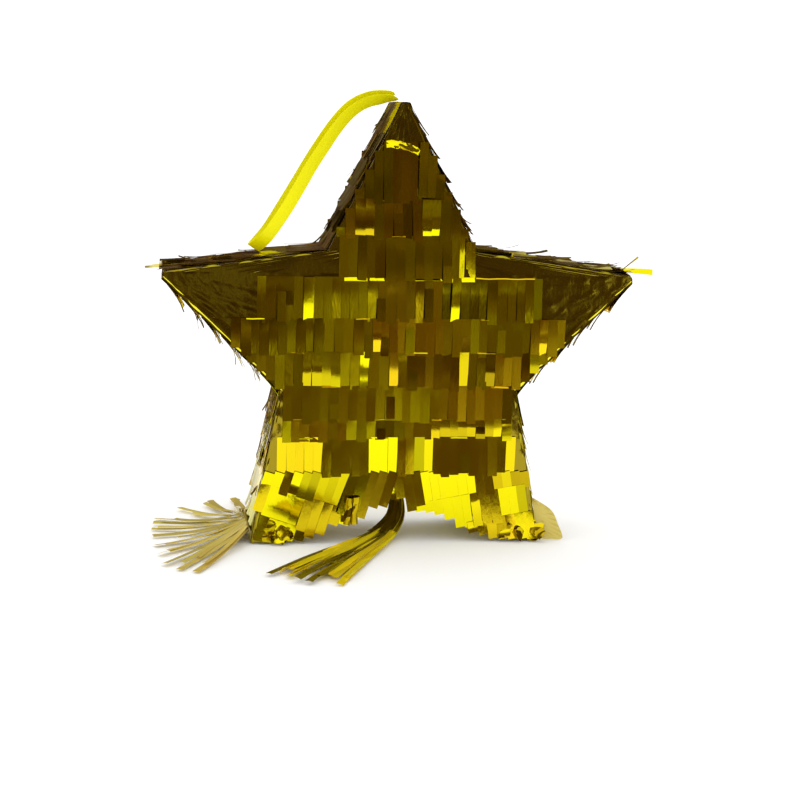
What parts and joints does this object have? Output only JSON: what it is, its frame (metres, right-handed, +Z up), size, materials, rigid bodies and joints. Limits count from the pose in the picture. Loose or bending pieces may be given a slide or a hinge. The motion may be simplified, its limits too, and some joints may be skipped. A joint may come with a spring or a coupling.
{
  "type": "star pinata",
  "caption": "Five-pointed star pinata of hollow card covered in rows of cut gold film fringe, standing on two points, with a ribbon loop and loose streamers.",
  "frame": {"origin": "on the table plane, midway between the two lower points, in the middle of the star's depth", "axes": "+Z up, from the feet to the top point; the front faces -Y; +X is to the right as seen from the front"},
  "size_m": [0.3904, 0.2664, 0.3399],
  "materials": {
    "card": "raw brown card, matt, with a faint flute pattern",
    "paper_tape": "matt gummed paper tape",
    "ribbon": "satin lemon-yellow ribbon",
    "film_gold": "crinkled metallised gold film, mirror gloss",
    "fringe_gold": "flat cut strips of metallised gold film, mirror gloss",
    "streamer_pale": "pale reverse side of the metallised film, satin",
    "streamer_gold": "metallised gold film strips, mirror gloss"
  },
  "bodies": {
    "star": {"front_panel": "card", "back_panel": "card", "band_top": "card", "band_left_arm": "card", "band_left_leg": "card", "band_right_leg": "card", "band_right_arm": "card", "corner_tapes": "paper_tape", "loop_knot": "ribbon", "loop_washer": "card", "front_foil": "film_gold", "back_foil": "film_gold", "front_tip_cap": "film_gold", "front_fringe_1": "fringe_gold", "front_fringe_2": "fringe_gold", "front_fringe_3": "fringe_gold", "front_fringe_4": "fringe_gold", "front_fringe_5": "fringe_gold", "front_fringe_6": "fringe_gold", "front_fringe_7": "fringe_gold", "front_fringe_8": "fringe_gold", "front_fringe_9": "fringe_gold", "front_left_leg_fringe_1": "fringe_gold", "front_left_leg_fringe_2": "fringe_gold", "front_left_leg_fringe_3": "fringe_gold", "front_right_leg_fringe_1": "fringe_gold", "front_right_leg_fringe_2": "fringe_gold", "front_right_leg_fringe_3": "fringe_gold", "back_tip_cap": "film_gold", "back_fringe_1": "fringe_gold", "back_fringe_2": "fringe_gold", "back_fringe_3": "fringe_gold", "back_fringe_4": "fringe_gold", "back_fringe_5": "fringe_gold", "back_fringe_6": "fringe_gold", "back_fringe_7": "fringe_gold", "back_fringe_8": "fringe_gold", "back_fringe_9": "fringe_gold", "back_left_leg_fringe": "fringe_gold", "back_right_leg_fringe": "fringe_gold", "side_fringe_top_right": "fringe_gold", "side_fringe_top_left": "fringe_gold", "side_fringe_left_arm_upper": "fringe_gold", "side_fringe_left_arm_lower": "fringe_gold", "side_fringe_left_leg_outer": "fringe_gold", "side_fringe_left_leg_inner": "fringe_gold", "side_fringe_right_leg_inner": "fringe_gold", "side_fringe_right_leg_outer": "fringe_gold", "side_fringe_right_arm_lower": "fringe_gold", "side_fringe_right_arm_upper": "fringe_gold", "tassel_hanger": "film_gold", "right_leg_fan": "streamer_pale"},
    "flap": {"fill_flap": "card", "flap_foil": "film_gold", "flap_fringe_1": "fringe_gold", "flap_fringe_2": "fringe_gold", "flap_fringe_3": "fringe_gold"},
    "loop": {"hanging_loop": "ribbon"},
    "left_streamers": {"left_tassel": "streamer_pale"},
    "crotch_streamers": {"crotch_tassel": "streamer_gold"}
  },
  "joints": [
    {"name": "flap_hinge", "type": "hinge", "parent": "star", "child": "flap", "pos_m": [0, 0.037, 0.17146], "axis": [1, 0, 0], "range_deg": [0, 130]},
    {"name": "loop_swing", "type": "hinge", "parent": "star", "child": "loop", "pos_m": [0, 0, 0.33171], "axis": [0, 1, 0], "range_deg": [0, 137]},
    {"name": "left_tassel_droop", "type": "hinge", "parent": "star", "child": "left_streamers", "pos_m": [-0.113, 0, 0.009], "axis": [0, 1, 0], "range_deg": [-80, 0]},
    {"name": "crotch_tassel_droop", "type": "hinge", "parent": "star", "child": "crotch_streamers", "pos_m": [0, 0.004, 0.04171], "axis": [-0.8773, 0.48, 0], "range_deg": [-75, 0]}
  ]
}
